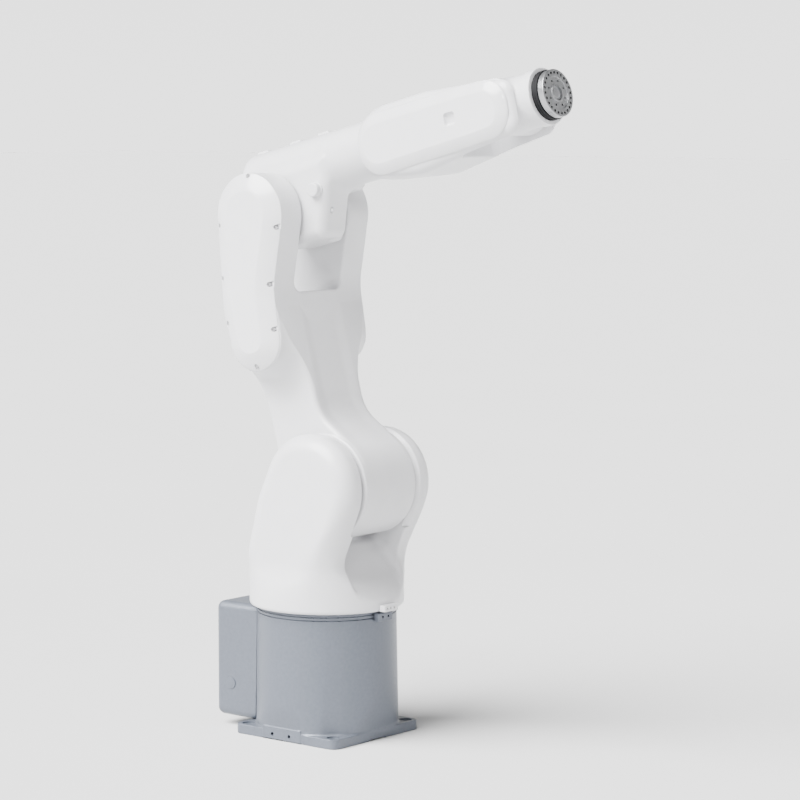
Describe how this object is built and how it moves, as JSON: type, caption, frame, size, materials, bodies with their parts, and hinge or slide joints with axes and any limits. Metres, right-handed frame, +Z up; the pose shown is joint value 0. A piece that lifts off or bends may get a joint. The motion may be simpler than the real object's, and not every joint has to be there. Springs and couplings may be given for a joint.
{
  "type": "six-axis robot arm",
  "caption": "Compact six-axis articulated robot arm in white on a grey foot with a square mounting plate and a round tool flange.",
  "frame": {"origin": "centre of the underside of the square foot, on the first axis", "axes": "+Z up along the first axis, +X the direction in which the arm reaches, +Y to its left"},
  "size_m": [0.5913, 0.222, 0.9478],
  "materials": {
    "white_paint": "satin white powder coat on cast aluminium",
    "white_cover": "satin white moulded cover",
    "grey_paint": "fine-textured blue-grey paint on cast aluminium",
    "steel": "ground steel",
    "aluminium": "turned aluminium",
    "brass": "plated brass",
    "rubber": "matt black rubber",
    "motor_black": "matt black"
  },
  "bodies": {
    "base": {"base_casting": "grey_paint", "connector_box": "grey_paint", "rear_panel": "aluminium", "power_connector": "motor_black", "signal_connector": "motor_black", "tool_signal_connector": "steel", "air_fitting_1": "brass", "air_fitting_2": "brass", "j1_motor_plate": "aluminium", "j1_motor": "motor_black", "j1_reducer": "steel", "j1_bearing": "steel", "base_harness": "rubber", "j1_zero_block": "grey_paint"},
    "turret": {"turret_casting": "white_paint", "j1_zero_tab": "white_paint", "j1_output_flange": "steel", "j2_motor": "motor_black", "j2_bearing": "steel", "turret_harness": "rubber"},
    "lower_arm": {"lower_arm_casting": "white_paint", "lower_arm_cover_right": "white_cover", "lower_arm_cover_left": "white_cover", "j3_motor": "motor_black", "j3_belt": "rubber", "j3_reducer": "steel", "j3_bearing": "steel", "j2_reducer": "steel", "lower_arm_harness": "rubber"},
    "j3_motor_pulley_body": {"j3_motor_pulley": "aluminium"},
    "j3_input_pulley_body": {"j3_input_pulley": "aluminium"},
    "elbow": {"elbow_casting": "white_paint", "elbow_plug": "white_paint", "elbow_rear_cap": "white_cover", "j3_output_boss": "steel", "j3_pivot_sleeve": "steel", "j4_motor": "motor_black", "j4_reducer": "steel", "j4_bearing": "steel"},
    "forearm": {"forearm_casting": "white_paint", "forearm_cover_right": "white_cover", "forearm_cover_left": "white_cover", "j4_output_boss": "steel", "j5_motor": "motor_black", "j5_belt": "rubber", "j6_motor": "motor_black", "j6_belt": "rubber", "j5_reducer": "steel", "j5_bearing": "steel"},
    "j5_motor_pulley_body": {"j5_motor_pulley": "aluminium"},
    "j5_input_pulley_body": {"j5_input_pulley": "aluminium"},
    "j6_motor_pulley_body": {"j6_motor_pulley": "aluminium"},
    "j6_input_pulley_body": {"j6_input_pulley": "aluminium"},
    "wrist": {"wrist_casting": "white_paint", "wrist_seal": "rubber", "j6_reducer": "steel", "j6_bevel_pinion": "steel", "j6_bevel_gear": "steel"},
    "flange": {"tool_flange": "aluminium"}
  },
  "joints": [
    {"name": "j1_base", "type": "hinge", "parent": "base", "child": "turret", "pos_m": [0, 0, 0.187], "axis": [0, 0, 1], "range_deg": [-170, 170]},
    {"name": "j2_shoulder", "type": "hinge", "parent": "turret", "child": "lower_arm", "pos_m": [0.045, 0, 0.364], "axis": [0, 1, 0], "range_deg": [-80, 95]},
    {"name": "j3_elbow", "type": "hinge", "parent": "lower_arm", "child": "elbow", "pos_m": [-0.06095, 0, 0.74349], "axis": [0, 1, 0], "range_deg": [-145, 38]},
    {"name": "j4_forearm_roll", "type": "hinge", "parent": "elbow", "child": "forearm", "pos_m": [0.09704, 0, 0.83893], "axis": [0.9711, 0, 0.2385], "range_deg": [-190, 190]},
    {"name": "j5_wrist_bend", "type": "hinge", "parent": "forearm", "child": "wrist", "pos_m": [0.32895, 0, 0.89589], "axis": [0, 1, 0], "range_deg": [-115, 115]},
    {"name": "j6_flange_roll", "type": "hinge", "parent": "wrist", "child": "flange", "pos_m": [0.40664, 0, 0.91497], "axis": [0.9711, 0, 0.2385], "range_deg": [-360, 360]},
    {"name": "j3_input_pulley_spin", "type": "hinge", "parent": "lower_arm", "child": "j3_input_pulley_body", "pos_m": [-0.06095, 0, 0.74349], "axis": [0, 1, 0], "range_deg": [-3041, 11601]},
    {"name": "j3_motor_pulley_spin", "type": "hinge", "parent": "lower_arm", "child": "j3_motor_pulley_body", "pos_m": [-0.05249, 0, 0.57558], "axis": [0, 1, 0], "range_deg": [-6081, 23201]},
    {"name": "j5_input_pulley_spin", "type": "hinge", "parent": "forearm", "child": "j5_input_pulley_body", "pos_m": [0.32895, 0, 0.89589], "axis": [0, 1, 0], "range_deg": [-9201, 9201]},
    {"name": "j5_motor_pulley_spin", "type": "hinge", "parent": "forearm", "child": "j5_motor_pulley_body", "pos_m": [0.15725, 0, 0.85372], "axis": [0, 1, 0], "range_deg": [-16357, 16357]},
    {"name": "j6_input_pulley_spin", "type": "hinge", "parent": "forearm", "child": "j6_input_pulley_body", "pos_m": [0.32895, 0, 0.89589], "axis": [0, 1, 0], "range_deg": [-28801, 28801]},
    {"name": "j6_motor_pulley_spin", "type": "hinge", "parent": "forearm", "child": "j6_motor_pulley_body", "pos_m": [0.21163, 0, 0.86708], "axis": [0, 1, 0], "range_deg": [-51201, 51201]}
  ],
  "couplings": [
    {"joint": "j3_input_pulley_spin", "follows": "j3_elbow", "ratio": -80},
    {"joint": "j3_motor_pulley_spin", "follows": "j3_elbow", "ratio": -160},
    {"joint": "j5_input_pulley_spin", "follows": "j5_wrist_bend", "ratio": -80},
    {"joint": "j5_motor_pulley_spin", "follows": "j5_wrist_bend", "ratio": -142.22},
    {"joint": "j6_input_pulley_spin", "follows": "j6_flange_roll", "ratio": 80},
    {"joint": "j6_motor_pulley_spin", "follows": "j6_flange_roll", "ratio": 142.22}
  ]
}
